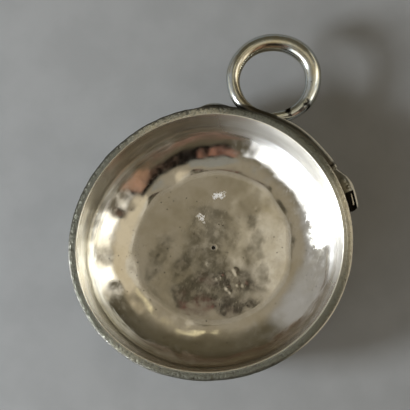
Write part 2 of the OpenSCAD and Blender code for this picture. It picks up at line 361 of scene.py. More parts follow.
# %% [markdown]
# ## Bowl
# The bowl was raised from one disc: its floor was left flat, with the compass mark of the disc's centre,
# and the wall was hammered up in courses. A section of lines and arcs follows the solid's own sizes, inside
# and out. The floor ends in a soft crease where the raising began, which the solid's smooth turn leaves
# out.

# %% Bowl sizes
wire_low, wire_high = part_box("rim_wire")
bowl_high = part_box("bowl")[1]
rim_r = wire_high.x/MM
lip_r = bowl_high.x/MM
bowl_h = bowl_high.z/MM
wire_z = wire_low.z/MM
sheet_t = 1.0
turn_r, turn_deg = 19.5, 45
bend_r = 5.0
lean_deg = 2
wall_lean = radians(lean_deg)


def seat_r(z, off):
    """Radius at which something stands off the straight part of the wall by a distance."""
    return lip_r - (bowl_h - z)*tan(wall_lean) + off/cos(wall_lean)


def down(degrees):
    """Unit vector in the section, turned from straight down towards straight out."""
    return Vector((sin(radians(degrees)), -cos(radians(degrees))))


wall_deg = 90 - lean_deg
bend_out = (turn_r - bend_r)*down(turn_deg)
wall_foot = Vector((0, turn_r)) + bend_out + bend_r*down(wall_deg)
base_r = seat_r(wall_foot.y, 0) - wall_foot.x
turn_c = Vector((base_r, turn_r))
bend_c = turn_c + bend_out
crease_r = base_r + 0.5
mark_r, mark_depth = 0.6, 0.35
floor_dome = 0.5
lip_round = 0.25
lip_in = seat_r(bowl_h, -sheet_t)
inner_top_z = bend_c.y - (bend_r - sheet_t)*sin(wall_lean)
# Distance from the seam between lip and wire, and drop below the top, of three points that round its edges
seam_edge = [(0.07, 0), (0.04, 0), (0.01, 0.02)]
print("bowl", round(2*lip_r, 2), "by", round(bowl_h, 2), "mm, crease at", round(crease_r, 2), "mm")


# %% Bowl section and spin
def wall_r(z):
    """Outside radius of the wall at a height, in mm."""
    if z >= wall_foot.y:
        return seat_r(z, 0)
    if z >= turn_c.y + turn_r*down(turn_deg).y:
        return bend_c.x + sqrt(bend_r**2 - (bend_c.y - z)**2)
    return turn_c.x + sqrt(turn_r**2 - (turn_c.y - z)**2)


def floor_z(r):
    """The floor rises a little towards its middle, so that the bowl doesn't rock."""
    return sheet_t + floor_dome*(1 - (r/crease_r)**2)


def arc(centre, radius, start, end, steps):
    for i in range(steps + 1):
        yield tuple(centre + radius*down(blend(start, end, i/steps)))


def wall_line(inset, low_z, high_z, steps):
    for i in range(1, steps + 1):
        z = blend(low_z, high_z, i/steps)
        yield seat_r(z, -inset), z


floor_steps, turn_steps, bend_steps, wall_steps, base_steps, bowl_steps = 84, 34, 12, 10, 8, 420
# Share of the mark's radius and rise above the floor, from the point of the compass to the burr round it
compass_mark = [(share*mark_r, floor_z(0) + rise) for share, rise in
                ((0, -mark_depth), (0.5, -0.6*mark_depth), (0.8, -0.1*mark_depth),
                 (1, 0.01), (1.3, 0.015), (1.7, 0))]
floor_line = []
for i in range(1, floor_steps + 1):
    r = blend(2*mark_r, crease_r - 0.3, i/floor_steps)
    floor_line.append((r, floor_z(r)))
inside = [*arc(turn_c, turn_r - sheet_t, 2.4, turn_deg, turn_steps),
          *arc(bend_c, bend_r - sheet_t, turn_deg + 3, wall_deg, bend_steps),
          *wall_line(sheet_t, inner_top_z, bowl_h - lip_round, wall_steps)]
lip = []
for angle in map(radians, (20, 40, 60, 80)):
    lip.append((lip_in + lip_round*(1 - cos(angle)), bowl_h - lip_round*(1 - sin(angle))))
lip += [(lip_in + 0.6, bowl_h), *((lip_r - off, bowl_h - drop) for off, drop in seam_edge)]
outside = [*wall_line(0, bowl_h - 0.4, wall_foot.y, wall_steps),
           *arc(bend_c, bend_r, wall_deg - 3, turn_deg, bend_steps//2),
           *arc(turn_c, turn_r, turn_deg - 2, 0, turn_steps//3)]
base_line = [(base_r*(1 - i/base_steps), 0) for i in range(1, base_steps + 1)]

bowl = pen_line("raised_bowl", compass_mark + floor_line + inside + lip + outside + base_line)
spin_round(bowl_steps)
print("bowl:", len(bowl.data.polygons), "faces")

# %% [markdown]
# ### Hammer work on the bowl
# Three scales of marks make old silver: broad warps from use, planishing facets a few millimetres wide, and
# single dents. Displace modifiers make the first two and are applied straight away, so that the mesh holds
# the marks themselves, and a vertex group keeps the lip and the resting base true. Dents are pushed with
# proportional editing, one selected vertex at a time, as a sculptor would place them.

# %% Hammer
def mark_zone(piece, name, weight_of):
    """A vertex group with a weight for each vertex, from a function of its place in mm."""
    zone = piece.vertex_groups.new(name=name)
    for vertex in piece.data.vertices:
        zone.add([vertex.index], weight_of(vertex.co/MM), "REPLACE")
    return name


def apply_modifiers(piece, *names):
    bpy.context.view_layer.objects.active = piece
    for name in names:
        bpy.ops.object.modifier_apply(modifier=name)


def hammer(piece, name, size, depth, zone="", deep=0, low=0.0, high=1.0):
    """Displaces the skin by a cloud texture; size of a mark and depth are in mm."""
    blows = bpy.data.textures.new(name, "CLOUDS")
    blows.noise_scale = size*MM
    blows.noise_depth = deep
    if (low, high) != (0.0, 1.0):
        blows.use_color_ramp = True
        for stop, position, level in zip(blows.color_ramp.elements, (low, high), (0, 1)):
            stop.position = position
            stop.color = (level, level, level, 1)
    marks = piece.modifiers.new(name, "DISPLACE")
    marks.texture = blows
    marks.texture_coords = "LOCAL"
    marks.strength = depth*MM
    marks.vertex_group = zone
    apply_modifiers(piece, name)


print("hammer ready")


# %% Warps and planishing
def inside_weight(spot):
    r = radius_of(spot)
    on_inside = spot.z > 0.5 and (r < wall_r(max(spot.z, 0)) - 0.5*sheet_t)
    calm_lip = ease((bowl_h - 1.0 - spot.z)/3)
    calm_mark = ease((r - 1.5)/2)
    if on_inside:
        return calm_lip*calm_mark*blend(0.32, 1, ease((r - crease_r + 1)/4))
    return 0.7*calm_lip*ease((spot.z - 0.3)/3)


def floor_weight(spot):
    r = radius_of(spot)
    return ease((r - 1.5)/2)*ease((crease_r + 2 - r)/4) if 0.5 < spot.z < 3 else 0.0


hammered = mark_zone(bowl, "hammered", inside_weight)
floor_zone = mark_zone(bowl, "floor", floor_weight)
hammer(bowl, "broad_warps", 13, 0.42, hammered)
hammer(bowl, "raising_courses", 7, 0.24, hammered)
hammer(bowl, "planishing", 3.4, 0.08, hammered)
hammer(bowl, "floor_warps", 5, 0.06, floor_zone, deep=1)
print("hammered in", len(bowl.vertex_groups), "zones")

# %% Out of round
# The old bowl is no longer true: its rim is pressed to an oval, with a slight third corner
oval_share, oval_turn = 0.025, radians(-47)
corner_share, corner_turn = 0.006, radians(-105)


def keep_true_radius(piece):
    """Stores each vertex's distance from the bowl's axis in mm."""
    store(piece, "true_radius", lambda vertex: radius_of(vertex.co)/MM)


def press_out_of_round(piece):
    """Moves every vertex towards or away from the bowl's axis; its radius before that is kept."""
    if "true_radius" not in piece.data.attributes:
        keep_true_radius(piece)
    for vertex in piece.data.vertices:
        turn = atan2(vertex.co.y, vertex.co.x)
        share = oval_share*cos(2*(turn - oval_turn)) + corner_share*cos(3*(turn - corner_turn))
        vertex.co.x *= 1 + share
        vertex.co.y *= 1 + share


print("rim to be pressed oval by", round(100*oval_share, 1), "%")

# %% Dents and an uneven lip
# Places on the floor in mm, width and depth of each dent
dents = [
    (-5.0, -0.2, 1.0, 0.022), (-7.6, -5.6, 1.3, 0.033), (-8.6, -4.6, 1.0, 0.022), (-4.0, -8.7, 1.3, 0.033),
    (-4.9, -9.6, 1.0, 0.022), (-7.1, -12.6, 1.5, 0.039), (-8.0, -11.2, 1.0, 0.028), (-10.2, -8.6, 1.2, 0.028),
    (-10.9, -9.9, 0.8, 0.022), (15.4, -8.0, 1.0, 0.022), (-8.0, 14.0, 1.4, 0.022), (-4.2, 13.9, 1.2, 0.022)]
# The crease wanders by this share of its radius, over this reach in mm, and swings about this often
crease_wander, crease_reach, crease_waves = 0.05, 5, 2.6
# The wall was left thickest on this side: by what shares it changes, and from which height over how many mm
thick_lip_turn = radians(-84)
lip_change, lip_swing, uneven_z, uneven_rise = 0.12, 0.3, 16, 8


def dent(piece, x, y, width, depth):
    bpy.ops.object.mode_set(mode="OBJECT")
    spot = Vector((x, y, floor_z(hypot(x, y))))*MM
    nearest = min(piece.data.vertices, key=lambda v: (v.co - spot).length_squared).index
    bpy.ops.object.mode_set(mode="EDIT")
    bpy.ops.mesh.select_all(action="DESELECT")
    bpy.ops.object.mode_set(mode="OBJECT")
    piece.data.vertices[nearest].select = True
    bpy.ops.object.mode_set(mode="EDIT")
    bpy.ops.transform.translate(value=(0, 0, -depth*MM), use_proportional_edit=True,
                                use_proportional_connected=True, proportional_edit_falloff="SMOOTH",
                                proportional_size=width*MM)


for one_dent in dents:
    dent(bowl, *one_dent)
bpy.ops.object.mode_set(mode="OBJECT")
keep_true_radius(bowl)
for vertex in bowl.data.vertices:
    r, z = radius_of(vertex.co)/MM, vertex.co.z/MM
    turn = atan2(vertex.co.y, vertex.co.x)
    swing = noise.noise(polar(crease_waves, turn, 3.0))
    wander = 1 + crease_wander*ease(1 - abs(r - crease_r)/crease_reach)*swing
    if z > uneven_z:
        thickness = max(wall_r(z) - r, 0)
        change = lip_change - lip_swing*cos(turn - thick_lip_turn)
        wander += thickness/r*change*ease((z - uneven_z)/uneven_rise)
    vertex.co.x *= wander
    vertex.co.y *= wander
press_out_of_round(bowl)
print("dents:", len(dents))

# %% [markdown]
# ## Rim wire
# A half-round wire was wrapped round the lip and soldered, and two centuries of knocks have pitted and
# nicked it. The section is a D on its side with a worn flat top. It is spun in short steps, so that pits
# under half a millimetre are true hollows in the mesh.

# %% Rim wire
wire_h = bowl_h - wire_z
wire_mid_z = bowl_h - wire_h/2
wire_round_r = rim_r - wire_h/2
squareness = 2.5
wire_steps = 900
wire_gap_r = 0.02
bruised_turn = radians(60)


def wire_section():
    seam = [(lip_r + off, bowl_h - drop) for off, drop in reversed(seam_edge)]
    crown = []
    for angle in map(radians, range(80, -91, -10)):
        c, s = cos(angle), sin(angle)
        crown.append((wire_round_r + wire_h/2*abs(c)**(2/squareness),
                      wire_mid_z + wire_h/2*copysign(abs(s)**(2/squareness), s)))
    back = [(wall_r(z) + wire_gap_r, z) for z in (wire_z, wire_z + 1.0)]
    return seam + crown + back + seam[:1]


def bruised_side(spot):
    """More wear on the side away from the serpent's head, as in long use against a table."""
    wear_and_painted_light = 0.55 + 0.45*cos(atan2(spot.y, spot.x) - bruised_turn)
    return wear_and_painted_light*ease((radius_of(spot) - lip_r)/0.5)


rim = pen_line("rim_wire_worn", wire_section(), closed=True)
spin_round(wire_steps)
worn_edge = mark_zone(rim, "worn_edge", bruised_side)
outer_part = mark_zone(rim, "outer_part", lambda spot: ease((radius_of(spot) - lip_r - 0.2)/0.8))
hammer(rim, "wire_waves", 9, 0.3, outer_part, deep=1)
hammer(rim, "wire_nicks", 1.4, 0.22, worn_edge, deep=2)
hammer(rim, "wire_pits", 0.5, -0.16, outer_part, low=0.6, high=0.75)
press_out_of_round(rim)
print("rim wire:", len(rim.data.polygons), "faces")

# %% [markdown]
# ### Rim solder
# Under the wire a thin fillet of hard solder runs round the wall. It is spun from a hollow-cheeked triangle
# and made lumpy, because solder flows unevenly.

# %% Rim solder
fillet, sunk = 0.5, 0.1
solder_section = [(wall_r(wire_z) - sunk, wire_z + sunk), (wall_r(wire_z - fillet) - sunk, wire_z - fillet),
                  (wall_r(wire_z - 0.3*fillet) + 0.16*fillet, wire_z - 0.4*fillet),
                  (wall_r(wire_z) + fillet, wire_z - 0.02), (wall_r(wire_z) + fillet, wire_z + sunk)]
rim_solder = pen_line("rim_solder_seam", solder_section + solder_section[:1], closed=True)
spin_round(bowl_steps)
hammer(rim_solder, "solder_lumps", 2.2, 0.25, deep=1)
press_out_of_round(rim_solder)
print("rim solder:", len(rim_solder.data.polygons), "faces")

# %% [markdown]
# ## Serpent's body
# The serpent is one forged rod: the neck follows the wall, the body turns a full finger ring, and the tail
# lies on the wall below the neck. A curve with a round bevel and a radius at each point is the quickest way
# to a tapered rod. It is turned into a mesh, and light hammering takes off the machine look.

# %% Serpent's middle line
ring_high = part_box("serpent_ring")[1]
solder_gap, wire_gap, cross_gap = 0.1, 0.2, 0.3
rod_wall_r, rod_front_r = 1.65, 2.6
finger_w, finger_l = 19.8, 19.2
ring_droop = radians(8)
neck_sweep, tail_sweep = radians(36), radians(52)
# The neck swells by so much, and the second half of the ring is pinched by this share
neck_swell, ring_pinch = 0.35, 0.07
tail_full, tail_tip_r, tail_drop = 0.4, 0.6, 2.0
swell_r, swell_at, swell_half = 0.5, radians(20), radians(8)
brow_w = 5.4
neck_z = wire_z - wire_gap - rod_wall_r
head_z = wire_z - wire_gap - brow_w/2
tail_z = neck_z - 2*rod_wall_r - cross_gap
ring_half_w = finger_w/2 + (rod_wall_r + rod_front_r)/2
ring_half_l = (finger_l + rod_wall_r + rod_front_r)/2
ring_drop = 2*ring_half_l*tan(ring_droop)
neck_steps, ring_steps, tail_steps = 18, 72, 32


def neck_point(turn):
    z = blend(neck_z, head_z, ease(-turn/neck_sweep))
    r = rod_wall_r + neck_swell*ease(-turn/0.35)
    return polar(seat_r(z, r + solder_gap), turn, z), r


def ring_point(turn):
    share, out = ease(turn/tau), (1 - cos(turn))/2
    neck_seat = seat_r(neck_z, rod_wall_r + solder_gap)
    tail_seat = seat_r(tail_z, rod_wall_r + solder_gap)
    pinch = 1 - ring_pinch*ease((turn - 3.5)/1.2)*ease((tau - turn)/0.5)
    middle = neck_seat + ring_half_l
    x = blend(neck_seat, tail_seat, share) + 2*ring_half_l*out
    z = blend(neck_z, tail_z, share) - ring_drop*out
    spot = Vector((middle + (x - middle)*pinch, ring_half_w*sin(turn)*pinch, z))
    return spot, blend(rod_wall_r, rod_front_r, out)


def tail_point(turn):
    share = turn/tail_sweep
    r = blend(rod_wall_r, tail_tip_r, ease((share - tail_full)/(1 - tail_full)))
    r += swell_r*ease(1 - abs(turn - swell_at)/swell_half)
    z = tail_z - tail_drop*ease(share)
    return polar(seat_r(z, r + solder_gap), turn, z), r


neck_line = [neck_point(-neck_sweep*(1 - i/neck_steps)) for i in range(neck_steps)]
ring_line = [ring_point(tau*i/ring_steps) for i in range(ring_steps + 1)]
tail_line = [tail_point(tail_sweep*i/tail_steps) for i in range(1, tail_steps + 1)]
ring_front = ring_line[ring_steps//2][0].x + rod_front_r
print("front of the ring at", round(ring_front, 2), "mm, solid at", round(ring_high.x/MM, 2))


# %% Serpent's body
def keep_outer_edge(piece, reach):
    """Marks the skin of the neck or head that looks away from the bowl; reach is a radius in mm."""
    def looks_out(vertex):
        away = Vector((vertex.co.x, vertex.co.y, 0))
        if vertex.co.y < -5*MM and away.length < reach*MM:
            return ease((vertex.normal.dot(away.normalized()) - 0.66)/0.18)
        return 0.0

    store(piece, "outer_edge", looks_out)


def tapered_rod(name, line, round_steps=7, along_steps=3):
    """A bevelled curve through points with a radius at each, turned into a mesh; line is in mm."""
    bpy.ops.curve.primitive_nurbs_path_add()
    rod = bpy.context.object
    rod.name = name
    rod.data.name = name
    path = rod.data.splines[0]
    path.points.add(len(line) - len(path.points))
    for point, (spot, r) in zip(path.points, line):
        point.co = (*(spot*MM), 1)
        point.radius = r*MM
    path.order_u = 4
    path.use_endpoint_u = True
    path.resolution_u = along_steps
    rod.data.resolution_u = along_steps
    rod.data.bevel_depth = 1.0
    rod.data.bevel_resolution = round_steps
    rod.data.use_fill_caps = True
    bpy.ops.object.convert(target="MESH")
    rod = bpy.context.object
    bpy.ops.object.mode_set(mode="EDIT")
    close_skin()
    return rod


# The tail runs on a little past its last point and thins to this radius
tail_past, tail_end_r = 0.35, 0.35
last_step = tail_line[-1][0] - tail_line[-2][0]
tail_end = [(tail_line[-1][0] + last_step*tail_past, tail_end_r)]
serpent = tapered_rod("serpent_body", neck_line + ring_line + tail_line + tail_end)
hammer(serpent, "forging", 5, 0.14)
hammer(serpent, "forging_fine", 1.6, 0.02)
keep_outer_edge(serpent, 43.2)
press_out_of_round(serpent)
print("serpent's body:", len(serpent.data.polygons), "faces")

# %% [markdown]
# ## Serpent's head
# The head is modelled straight, like a bar on the bench, and bent round the bowl afterwards. A disc is
# extruded from station to station and scaled at each, which is how a hand modeller lofts. Eyes and brows
# are joined on, and Remesh welds it all into one skin, as a casting would be.

# %% Helpers for the head
def ball(spot, size):
    """A small scaled sphere; spot and half sizes in mm."""
    bpy.ops.mesh.primitive_uv_sphere_add(segments=24, ring_count=16, radius=MM, location=spot*MM)
    lump = bpy.context.object
    lump.scale = size
    bpy.ops.object.transform_apply()
    return lump


def join_into(piece, others):
    bpy.ops.object.select_all(action="DESELECT")
    for other in [*others, piece]:
        other.select_set(True)
    bpy.context.view_layer.objects.active = piece
    bpy.ops.object.join()


def weld(piece, voxel, rounds):
    """One closed skin from joined forms: Remesh on a grid of that size in mm, then smoothing."""
    grid = piece.modifiers.new("one_skin", "REMESH")
    grid.mode = "VOXEL"
    grid.voxel_size = voxel*MM
    soft = piece.modifiers.new("file_smooth", "SMOOTH")
    soft.factor = 0.5
    soft.iterations = rounds
    apply_modifiers(piece, "one_skin", "file_smooth")
    bpy.ops.object.select_all(action="DESELECT")
    piece.select_set(True)
    bpy.ops.object.shade_smooth()


def cut_away(piece, tool):
    cut = piece.modifiers.new("cut", "BOOLEAN")
    cut.operation = "DIFFERENCE"
    cut.solver = "EXACT"
    cut.object = tool
    apply_modifiers(piece, "cut")
    bpy.data.objects.remove(tool)


def wrap_round(piece):
    """Bends a straight piece round the bowl: X stays the radius, Y runs round from the neck's shoulder."""
    for vertex in piece.data.vertices:
        turn = -neck_sweep - vertex.co.y/(head_seat*MM)
        vertex.co = polar(vertex.co.x, turn, vertex.co.z)


print("helpers for the head ready")

# %% Head with eyes and brows
head_l, head_gap = 14.0, 0.15
nose_line = head_z*MM
head_in = seat_r(head_z, head_gap)
head_seat = seat_r(head_z, rod_wall_r + solder_gap)
# Share of the length, half thickness out from the wall and half height at each station
head_stations = [
    (0.0, 1.7, 1.7), (0.02, 1.92, 1.92), (0.085, 1.92, 1.92), (0.11, 1.74, 1.74), (0.2, 1.95, 1.95),
    (0.33, 2.45, 2.35), (0.46, 2.7, 2.7), (0.56, 2.69, 2.6), (0.7, 2.62, 2.2), (0.86, 2.52, 1.86),
    (0.94, 2.4, 1.7), (0.985, 2.1, 1.4), (1.0, 1.7, 1.05)]
eye_along, eye_rise = 0.53*head_l, 2.35
# Out from the wall, along the head from the eye, down from it, and half sizes, of eye, brow and cheek
eye_lumps = [(3.5, 0, 0, (0.55, 0.55, 0.5)), (4.3, -0.5, 0.4, (0.42, 1.3, 0.5)),
             (2.9, -1.8, 0.15, (0.9, 1.2, 0.45))]


def loft_head():
    share, half_t, half_w = head_stations[0]
    middle = ((head_in + half_t)*MM, 0, nose_line)
    bpy.ops.mesh.primitive_circle_add(vertices=40, radius=MM, fill_type="NGON", rotation=(pi/2, 0, 0),
                                      location=middle)
    piece = bpy.context.object
    bpy.ops.object.transform_apply()
    bpy.ops.object.mode_set(mode="EDIT")
    bpy.ops.mesh.select_all(action="SELECT")
    bpy.ops.transform.resize(value=(half_t, 1, half_w), center_override=middle)
    for (was_share, was_t, was_w), (share, half_t, half_w) in zip(head_stations, head_stations[1:]):
        step = Vector((half_t - was_t, (share - was_share)*head_l, 0))*MM
        bpy.ops.mesh.extrude_region_move(TRANSFORM_OT_translate={"value": step})
        bpy.ops.transform.resize(value=(half_t/was_t, 1, half_w/was_w),
                                 center_override=((head_in + half_t)*MM, share*head_l*MM, nose_line))
    bpy.ops.mesh.select_all(action="SELECT")
    bpy.ops.mesh.normals_make_consistent(inside=False)
    bpy.ops.object.mode_set(mode="OBJECT")
    return piece


head = loft_head()
head.name = "serpent_head_shaped"
features = []
for side in (-1, 1):
    eye_z = head_z + side*eye_rise
    for out, along, drop, size in eye_lumps:
        features.append(ball(Vector((head_in + out, eye_along + along, eye_z - side*drop)), size))
join_into(head, features)
weld(head, 0.1, 2)
print("head before its mouth is cut:", len(head.data.polygons), "faces")

# %% [markdown]
# ### Mouth
# The jaws stand open round a dark gap. A wedge is taken out with Boolean, because a cut gives measured jaws
# where sculpting would not, and a second weld softens its edges. Each vertex then remembers whether it lies
# in the gap, which the finish paints black as shade, or on the outer jaw, which it paints with a pale
# highlight.

# %% Mouth
mouth_l, mouth_corner, mouth_gap, jaw_t = 5.0, 1.2, 1.7, 0.7
mouth_start = head_l - mouth_l
# Half thickness of the head at the corner of the mouth and at the tip
corner_half_t, tip_half_t = 2.65, 2.5
# The gap is cut down to this far below the middle, which leaves a thin web under it
mouth_floor = 0.75
wedge_h, wedge_round, wedge_past = 8, 0.3, 0.3


def mouth_mid(along):
    """Middle of the gap between the jaws, out from the axis, at a length along the head in mm."""
    share = (along - mouth_start)/(head_l - mouth_start)
    corner = head_in + 2*corner_half_t - jaw_t - mouth_corner/2
    return blend(corner, head_in + 2*tip_half_t - jaw_t - mouth_gap/2, share)


def gap_place(vertex):
    """Length along the head, distance out from the middle of the gap and half the gap there, in mm."""
    along = vertex.co.y/MM
    half_gap = blend(mouth_corner, mouth_gap, (along - mouth_start)/mouth_l)/2
    return along, vertex.co.x/MM - mouth_mid(along), half_gap


def in_mouth(vertex):
    """1 for the skin of the gap, and fading on the upper side between gap and wall."""
    along, off_middle, half_gap = gap_place(vertex)
    rise = vertex.co.z/MM - head_z
    if along > mouth_start - 0.4 and abs(off_middle) < half_gap + 0.1 and rise > -mouth_floor - 0.15:
        return 1.0
    beside = ease((off_middle + half_gap + 1.6)/0.6)*ease((half_gap + 0.1 - off_middle)/0.1)
    return beside*ease((along - mouth_start + 0.4)/0.2)*ease(rise + 0.3)


def on_jaw(vertex):
    """1 for the skin of the outer jaw, fading towards the neck."""
    along, off_middle, half_gap = gap_place(vertex)
    return ease((off_middle - half_gap)/0.15)*ease((along - mouth_start + 2.0)/1.5)


bpy.ops.mesh.primitive_cube_add(size=1)
wedge = bpy.context.object
bpy.ops.object.mode_set(mode="EDIT")
bpy.ops.mesh.select_all(action="SELECT")
bpy.ops.transform.resize(value=(mouth_corner*MM, mouth_l*MM, wedge_h*MM))
bpy.ops.mesh.bevel(offset=wedge_round*MM, segments=3)
bpy.ops.object.mode_set(mode="OBJECT")
for vertex in wedge.data.vertices:
    along = vertex.co.y/MM + mouth_start + mouth_l/2 + wedge_past
    widen = blend(1, mouth_gap/mouth_corner, (along - mouth_start)/mouth_l)
    rise = vertex.co.z + (wedge_h/2 - mouth_floor)*MM
    vertex.co = Vector((vertex.co.x*widen + mouth_mid(along)*MM, along*MM, nose_line + rise))
cut_away(head, wedge)
weld(head, 0.09, 3)
# The gap is kept for painted shade, the outer jaw for a painted pale highlight
store(head, "mouth_painted_shade", in_mouth)
store(head, "jaw_painted_light", on_jaw)
wrap_round(head)
# Running round against the clock turned the skin inside out, so it is turned back
bpy.ops.object.mode_set(mode="EDIT")
bpy.ops.mesh.select_all(action="SELECT")
bpy.ops.mesh.flip_normals()
bpy.ops.object.mode_set(mode="OBJECT")
hammer(head, "head_chasing", 1.4, 0.05)
keep_outer_edge(head, 46)
press_out_of_round(head)
print("head:", len(head.data.polygons), "faces")

# %% [markdown]
# ### Tongue
# The tongue is a strip of thin sheet with a notch filed in its tip. Its outline is drawn with the pen,
# filled, extruded to the sheet's thickness and softened with a bevel, then bent round with the head.

# %% Tongue
tongue_t, tongue_w, tongue_l, tongue_root = 0.4, 1.3, 3.4, 1.5
fork_l, prong_w, prong_flare, tongue_bevel = 0.9, 0.3, 0.05, 0.07
root_at = mouth_start - mouth_corner/2 - tongue_root
tip_at = mouth_start + tongue_l
lower_edge = [(root_at, -tongue_w/2), (root_at + 2.2, -tongue_w/2), (tip_at - fork_l, -tongue_w/2),
              (tip_at, -tongue_w/2 - prong_flare), (tip_at, -tongue_w/2 + prong_w)]
upper_edge = [(along, -across) for along, across in reversed(lower_edge)]
strip = [*lower_edge, (tip_at - fork_l, 0), *upper_edge, lower_edge[0]]
tongue = pen_line("serpent_tongue_strip", strip, closed=True)
bpy.ops.mesh.edge_face_add()
bpy.ops.mesh.extrude_region_move(TRANSFORM_OT_translate={"value": (0, tongue_t*MM, 0)})
bpy.ops.mesh.select_all(action="SELECT")
bpy.ops.mesh.normals_make_consistent(inside=False)
bpy.ops.mesh.bevel(offset=tongue_bevel*MM, segments=2)
bpy.ops.mesh.quads_convert_to_tris()
bpy.ops.object.mode_set(mode="OBJECT")
bpy.ops.object.shade_smooth_by_angle(angle=radians(40))
for vertex in tongue.data.vertices:
    along, across, rise = vertex.co.x/MM, vertex.co.y/MM - tongue_t/2, vertex.co.z/MM
    vertex.co = Vector((mouth_mid(along) + across, along, head_z + rise))*MM
wrap_round(tongue)
press_out_of_round(tongue)
# The tongue takes the painted pale highlight of the outer jaw
store(tongue, "jaw_painted_light", lambda vertex: 1.0)
print("tongue:", len(tongue.data.polygons), "faces")

# %% [markdown]
# ## Solder on the serpent
# Hard solder was run in wherever the serpent touches the bowl. Along the neck and the tail it is a fillet
# above and below the rod, made from thin lumpy beads. Where the neck crosses its own tail it is a squashed
# lump.

# %% Solder
# Rise and thickness of a bead as shares of the rod's radius, and how far it stands off the wall in mm
bead_rise, bead_share, bead_off = 0.68, 0.2, 0.2


def fillets(name, line):
    """A bead above and one below a stretch of rod along the wall; line holds points and radii in mm."""
    beads = []
    for side in (-1, 1):
        bead = []
        for spot, r in line:
            z = spot.z + side*bead_rise*r
            bead.append((polar(seat_r(z, bead_off), atan2(spot.y, spot.x), z), bead_share*r))
        beads.append(tapered_rod(name, bead, round_steps=3, along_steps=4))
    join_into(beads[0], beads[1:])
    hammer(beads[0], name + "_lumps", 1.3, 0.2, deep=1)
    press_out_of_round(beads[0])
    return beads[0]


neck_solder = fillets("neck_solder_fillets", neck_line[1:-1])
tail_solder = fillets("tail_solder_fillets", tail_line[1:-2])
cross_z = neck_z - rod_wall_r - cross_gap/2
crossing = ball(Vector((seat_r(cross_z, rod_wall_r), 0, cross_z)), (1.25, 1.6, 0.6))
crossing.name = "crossing_solder_lump"
bpy.ops.object.shade_smooth()
hammer(crossing, "crossing_lumps", 0.9, 0.2, deep=1)
press_out_of_round(crossing)
print("solder:", [len(piece.data.polygons) for piece in (neck_solder, tail_solder, crossing)], "faces")

# %% [markdown]
# ## Finishes
# All four finishes are the same metal at different ages. Each starts from the colour of silver, is yellowed
# by a broad noise, and is then worn: scratches and scuffs make it rough, so that they catch the window, and
# dirt sits in pits. Some masks also paint highlights, dark reflections and shade into the colour. The masks
# work in millimetres: a distance from the bowl's axis, a height, or how far a place lies towards one side.

# %% Shared recipe steps
# The wall is painted darker olive towards two turns in degrees, as dark reflections low and high on it, and
# brighter towards a third, as a highlight
low_dark_turn, high_dark_turn, highlight_turn = 184, 112, -34
# The rim is rubbed to a tan on one side, and its outer curve is rubbed bright, painted with a pale highlight
# line and ragged on others
tan_turn, rubbed_turn, pale_line_turn, ragged_turn = -66, 146, -80, 66
# It is painted darkest on these, as dark reflections: the turn, and how far out the dark begins and is full
painted_dark_sides = [(226, 6, 32), (108, 16, 32), (-12, 30, 37)]
rim_olive, rim_tan = (0.48, 0.44, 0.32), (0.62, 0.57, 0.44)
finishes = {}


def start_finish(name):
    """A new metal; its shader is what the recipe plugs into."""
    finishes[name], shader = new_finish(name)
    return plug_all(shader, Metallic=1.0)


def stored(name):
    """A value that was kept for each vertex of the mesh."""
    return add_node("Attribute", {"attribute_name": name}).outputs["Fac"]


def axis_mm(axis):
    """How far along an axis the place lies, in mm."""
    return times(add_node("SeparateXYZ", Vector=place).outputs[axis], 1/MM)


def length_of(vector):
    return add_node("VectorMath", {"operation": "LENGTH"}, Vector=vector).outputs["Value"]


def scratches(turn, per_mm, low, high):
    """Fine long lines across the piece at an angle in degrees, from stretched noise."""
    stretched = add_node("Mapping", Vector=place, Rotation=(0, 0, radians(turn)),
                         Scale=(0.06, 1.0, 0.3))
    return ramp(grain(per_mm, detail=1.0, at=stretched.outputs[0]), low, high)


def stains(*blots):
    """1 in ragged blots and 0 away from them: x, y and half width in mm, softness, stretch and turn."""
    wobble = add_node("TexNoise", Vector=place, Scale=0.35/MM, Detail=3.0).outputs["Color"]
    moved = mix_colour(0.0035, place, wobble, "LINEAR_LIGHT")
    shares = []
    for x, y, size, soft, stretch, turn in blots:
        local = add_node("Mapping", {"vector_type": "TEXTURE"}, Vector=moved,
                         Location=(x*MM, y*MM, MM), Rotation=(0, 0, radians(turn)),
                         Scale=(size*stretch*MM, size*MM, 40*MM))
        shares.append(ramp(length_of(local.outputs[0]), 1 + soft, 1 - soft))
    return largest(*shares)


def on_side(turn, start, full):
    """0 at one distance from the bowl's axis towards a turn in degrees and 1 at another, both in mm."""
    return ramp(how_far(place, polar(1, radians(turn), 0)/MM), start, full)


def pit_dots(per_mm, size, kept):
    """Small round pits; kept is the share of the cells that hold one."""
    cells = add_node("TexVoronoi", Vector=place, Scale=per_mm/MM)
    dot = ramp(cells.outputs["Distance"], size, 0.4*size)
    pick = add_node("SeparateXYZ", Vector=cells.outputs["Color"]).outputs["X"]
    return times(dot, ramp(pick, kept + 0.02, kept - 0.02))


def aged_rim(colour, darkest):
    """Colour and grit of the lip and the wire round it, which have aged together; darker sides are painted
    dark reflections.
    """
    tanned = on_side(tan_turn, 14, 36)
    # Painted dark reflections: the rim is darkened towards the listed sides
    painted_darkening = [(on_side(*dark_side), darkest) for dark_side in painted_dark_sides]
    grit = largest(ramp(grain(1.4, detail=5.0, roughness=0.75), 0.46, 0.66),
                   ramp(grain(0.6, detail=4.0, roughness=0.7), 0.54, 0.64))
    return coat(colour, (tanned, rim_tan), *painted_darkening), times(grit, ramp(tanned, 0, 1, 1.0, 0.35))


def dress(shader, colour, rough, relief, depth):
    """Plugs in colour, roughness and a fine relief of a depth in mm."""
    bump = add_node("Bump", Height=relief, Distance=depth*MM, Strength=1.0)
    plug_all(shader, Base_Color=colour, Roughness=rough, Normal=bump.outputs[0])


